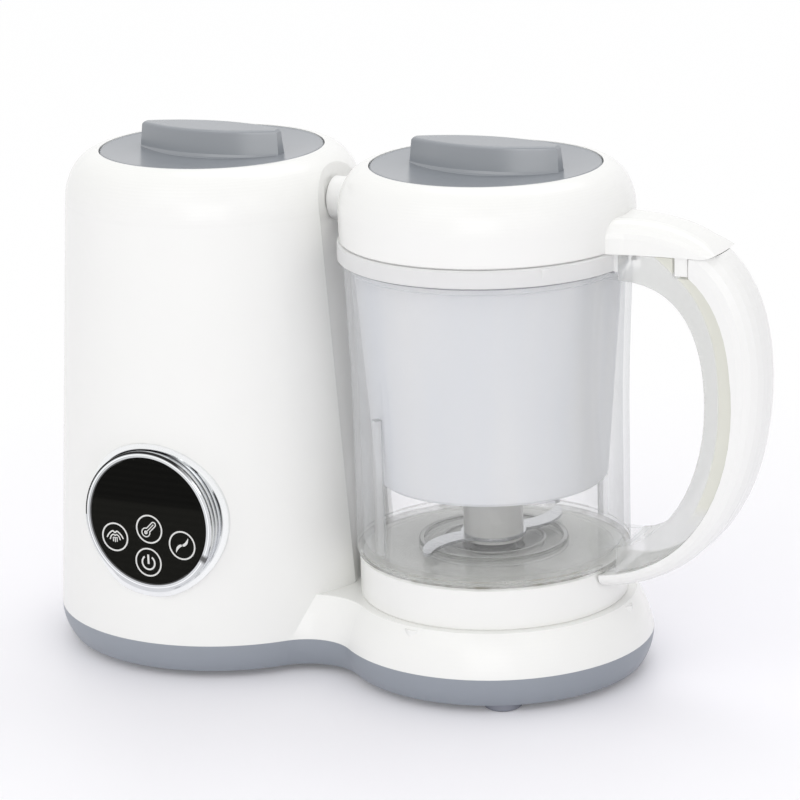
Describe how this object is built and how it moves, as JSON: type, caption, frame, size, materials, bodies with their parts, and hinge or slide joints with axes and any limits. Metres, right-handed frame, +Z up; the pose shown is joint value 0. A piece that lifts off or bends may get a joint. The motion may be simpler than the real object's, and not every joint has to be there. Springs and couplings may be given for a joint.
{
  "type": "baby food maker",
  "caption": "Countertop baby food steamer and blender: white tower with water tank and touch display, clear jug with steam basket, blades and lid on a round base.",
  "frame": {"origin": "centre of the footprint at the level the feet stand on", "axes": "+X from the tower towards the jug and its handle, -Y the side of the display, +Z up"},
  "size_m": [0.2987, 0.1368, 0.2065],
  "materials": {
    "white_gloss": "smooth gloss",
    "grey_plastic": "fine satin",
    "grey_rubber": "matte",
    "zinc_steel": "plain zinc",
    "chrome_ring": "mirror polish",
    "black_glass": "gloss",
    "green_board": "solder mask",
    "black_plastic": "satin",
    "black_rubber": "matte",
    "inner_plastic": "satin",
    "cast_aluminium": "as cast",
    "red_silicone": "matte",
    "milky_plastic": "translucent",
    "hose_silicone": "satin",
    "nozzle_plastic": "gloss",
    "clear_plastic": "clear",
    "bronze": "sintered",
    "hub_plastic": "gloss",
    "blade_steel": "ground",
    "clear_silicone": "satin"
  },
  "bodies": {
    "base": {"base_tub": "grey_plastic", "rubber_feet": "grey_rubber", "base_screws": "zinc_steel", "housing": "white_gloss", "jug_seat": "white_gloss", "seat_screws": "zinc_steel", "display_bezel": "chrome_ring", "touch_panel": "black_glass", "control_board": "green_board", "power_board": "green_board", "motor_bracket": "zinc_steel", "motor_screws": "zinc_steel", "motor_can": "zinc_steel", "motor_magnets": "black_plastic", "drive_belt": "black_rubber", "spindle_block": "black_plastic", "spindle_bearings": "zinc_steel", "boiler_shelf": "inner_plastic", "boiler": "cast_aluminium", "boiler_heater": "zinc_steel", "thermostat": "black_plastic", "boiler_seal": "red_silicone", "water_tank": "milky_plastic", "steam_hose": "hose_silicone", "steam_nozzle": "nozzle_plastic", "lid_sensor": "black_plastic", "cord_gland": "black_rubber"},
    "rotor": {"armature": "zinc_steel", "motor_pulley": "black_plastic"},
    "spindle_set": {"spindle": "zinc_steel", "driven_pulley": "black_plastic", "drive_coupling": "black_plastic"},
    "jug": {"jug_bowl": "clear_plastic", "handle_shell": "white_gloss", "blade_bushing": "bronze", "shaft_seal": "black_rubber"},
    "blades": {"blade_hub": "hub_plastic", "lower_blade": "blade_steel", "upper_blade": "blade_steel", "blade_shaft": "blade_steel", "driven_coupling": "black_plastic"},
    "basket": {"steam_basket": "milky_plastic"},
    "lid_ring": {"lid_seal": "clear_silicone"},
    "lid": {"jug_lid": "white_gloss", "lid_grip": "grey_plastic", "lid_magnet": "zinc_steel"},
    "cap_ring": {"tank_cap_seal": "black_rubber"},
    "cap": {"tank_cap": "grey_plastic"}
  },
  "joints": [
    {"name": "motor_spin", "type": "hinge", "parent": "base", "child": "rotor", "pos_m": [-0.08095, 0, 0.05], "axis": [0, 0, 1], "continuous": true},
    {"name": "spindle_spin", "type": "hinge", "parent": "base", "child": "spindle_set", "pos_m": [0.03665, 0, 0.03], "axis": [0, 0, 1], "continuous": true},
    {"name": "jug_lift", "type": "slide", "parent": "base", "child": "jug", "axis": [0, 0, 1], "range_m": [0, 0.18]},
    {"name": "blade_spin", "type": "hinge", "parent": "jug", "child": "blades", "pos_m": [0.03665, 0, 0.06], "axis": [0, 0, 1], "continuous": true},
    {"name": "lid_lift", "type": "slide", "parent": "jug", "child": "lid_ring", "axis": [0, 0, 1], "range_m": [0, 0.2]},
    {"name": "lid_turn", "type": "hinge", "parent": "lid_ring", "child": "lid", "pos_m": [0.03665, 0, 0.17], "axis": [0, 0, 1], "range_deg": [-30, 0]},
    {"name": "basket_lift", "type": "slide", "parent": "jug", "child": "basket", "axis": [0, 0, 1], "range_m": [0, 0.1]},
    {"name": "cap_lift", "type": "slide", "parent": "base", "child": "cap_ring", "axis": [0, 0, 1], "range_m": [0, 0.1]},
    {"name": "cap_turn", "type": "hinge", "parent": "cap_ring", "child": "cap", "pos_m": [-0.08095, 0, 0.195], "axis": [0, 0, 1], "range_deg": [-45, 0]}
  ],
  "couplings": [
    {"joint": "spindle_spin", "follows": "motor_spin", "ratio": 0.41667},
    {"joint": "blade_spin", "follows": "motor_spin", "ratio": 0.41667},
    {"joint": "basket_lift", "follows": "lid_lift", "ratio": 0.5}
  ]
}
